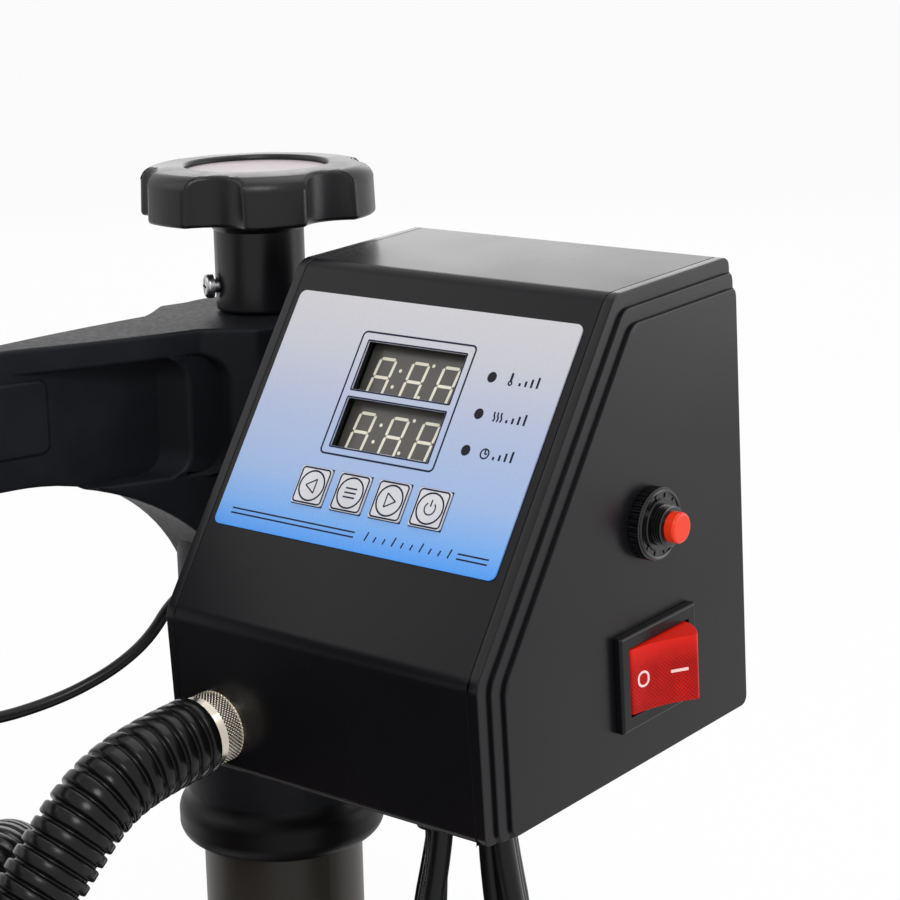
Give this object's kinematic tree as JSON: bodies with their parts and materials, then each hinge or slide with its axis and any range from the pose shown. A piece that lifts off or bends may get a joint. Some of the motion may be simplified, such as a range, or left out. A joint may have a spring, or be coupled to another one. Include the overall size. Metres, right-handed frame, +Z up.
{
  "type": "swing-away heat press",
  "caption": "Swing-away heat press with a control box on its arm, a toggle handle, a pressure knob on the post and two flat platens.",
  "frame": {"origin": "on the bench under the middle of the base", "axes": "+Z up along the bench bolts, -Y towards the operator, +X to the operator's right"},
  "size_m": [0.33, 0.52, 0.6255],
  "materials": {
    "painted_frame": "satin",
    "black_rubber": "matte",
    "zinc_steel": "satin",
    "platen_aluminium": "satin",
    "silicone": "matte",
    "post_steel": "satin",
    "bronze": "satin",
    "casting": "satin",
    "black_plastic": "satin",
    "knob_disc": "satin",
    "box_paint": "satin",
    "panel_print": "satin",
    "display": "gloss",
    "lamp": "gloss",
    "circuit_board": "satin",
    "key_print": "satin",
    "red_rocker": "gloss",
    "red_button": "gloss",
    "nickel": "satin",
    "insulation": "matte",
    "heater_steel": "satin",
    "grip_foam": "matte",
    "cord_black": "satin"
  },
  "bodies": {
    "base": {"base_frame": "painted_frame", "rail_end_caps": "black_plastic", "rubber_feet": "black_rubber", "base_screws": "zinc_steel", "lower_platen": "platen_aluminium", "silicone_pad": "silicone", "post_tube": "post_steel", "post_plug": "zinc_steel"},
    "carriage": {"thrust_washer": "bronze"},
    "arm": {"swing_arm": "casting", "sleeve_bushes": "bronze", "sleeve_collar": "black_plastic", "guide_bushes": "bronze", "pivot_pin": "zinc_steel", "limit_switch": "black_plastic", "box_bracket": "painted_frame", "box_shell": "box_paint", "side_cap_right": "box_paint", "side_cap_left": "box_paint", "box_screws": "zinc_steel", "panel_label": "panel_print", "display_modules": "display", "indicator_lamps": "lamp", "control_board": "circuit_board", "power_parts": "heater_steel", "switch_frame": "black_plastic", "breaker_body": "black_plastic", "breaker_nut": "black_plastic", "box_hose_fitting": "nickel", "cable_glands": "black_plastic", "corrugated_hose": "cord_black", "sensor_cable": "cord_black", "mains_hank": "cord_black", "hank_tie": "black_plastic", "mains_plug": "cord_black"},
    "knob": {"adjusting_screw": "zinc_steel", "pressure_knob": "black_plastic", "knob_cap": "knob_disc", "knob_lock_screw": "zinc_steel"},
    "platen": {"heated_platen": "platen_aluminium", "heater_element": "heater_steel", "insulation_board": "insulation", "platen_studs": "zinc_steel", "platen_cover": "painted_frame", "platen_screws": "zinc_steel", "link_bracket": "painted_frame", "lower_pins": "zinc_steel", "guide_rods": "zinc_steel", "platen_hose_fitting": "nickel"},
    "handle": {"handle_lever": "painted_frame", "handle_grip": "grip_foam", "crank_pin": "zinc_steel"},
    "link": {"toggle_link": "painted_frame"},
    "rocker": {"rocker": "red_rocker"},
    "breaker_button": {"breaker_button": "red_button"},
    "key_1": {"key_1": "key_print"},
    "key_2": {"key_2": "key_print"},
    "key_3": {"key_3": "key_print"},
    "key_4": {"key_4": "key_print"}
  },
  "joints": [
    {"name": "arm_lift", "type": "slide", "parent": "base", "child": "carriage", "axis": [0, 0, 1], "range_m": [-0.006, 0.006]},
    {"name": "arm_swing", "type": "hinge", "parent": "carriage", "child": "arm", "pos_m": [0, 0.165, 0.232], "axis": [0, 0, 1], "range_deg": [0, 100]},
    {"name": "knob_turn", "type": "hinge", "parent": "arm", "child": "knob", "pos_m": [0, 0.165, 0.342], "axis": [0, 0, 1], "range_deg": [-1080, 1080]},
    {"name": "platen_slide", "type": "slide", "parent": "arm", "child": "platen", "axis": [0, 0, -1], "range_m": [0, 0.03881]},
    {"name": "handle_turn", "type": "hinge", "parent": "arm", "child": "handle", "pos_m": [0, -0.13, 0.294], "axis": [1, 0, 0], "range_deg": [0, 80]},
    {"name": "link_turn", "type": "hinge", "parent": "handle", "child": "link", "pos_m": [0, -0.16447, 0.28792], "axis": [1, 0, 0], "range_deg": [-112.03, 0]},
    {"name": "rocker_turn", "type": "hinge", "parent": "arm", "child": "rocker", "pos_m": [0.14474, 0.18315, 0.25627], "axis": [0.0114, -0.0536, 0.9985], "range_deg": [0, 48]},
    {"name": "breaker_button_slide", "type": "slide", "parent": "arm", "child": "breaker_button", "axis": [0.9781, 0.2079, 0], "range_m": [0, 0.0025]},
    {"name": "key_1_press", "type": "slide", "parent": "arm", "child": "key_1", "axis": [-0.1737, 0.817, -0.5499], "range_m": [0, 0.0004], "stiffness_N_per_m": 1500, "springref_m": -0.0005},
    {"name": "key_2_press", "type": "slide", "parent": "arm", "child": "key_2", "axis": [-0.1737, 0.817, -0.5499], "range_m": [0, 0.0004], "stiffness_N_per_m": 1500, "springref_m": -0.0005},
    {"name": "key_3_press", "type": "slide", "parent": "arm", "child": "key_3", "axis": [-0.1737, 0.817, -0.5499], "range_m": [0, 0.0004], "stiffness_N_per_m": 1500, "springref_m": -0.0005},
    {"name": "key_4_press", "type": "slide", "parent": "arm", "child": "key_4", "axis": [-0.1737, 0.817, -0.5499], "range_m": [0, 0.0004], "stiffness_N_per_m": 1500, "springref_m": -0.0005}
  ],
  "couplings": [
    {"joint": "knob_turn", "follows": "arm_lift", "rad_per_m": 3141.6},
    {"joint": "handle_turn", "follows": "platen_slide", "rad_per_m": 35.973},
    {"joint": "link_turn", "follows": "platen_slide", "rad_per_m": -50.373}
  ]
}
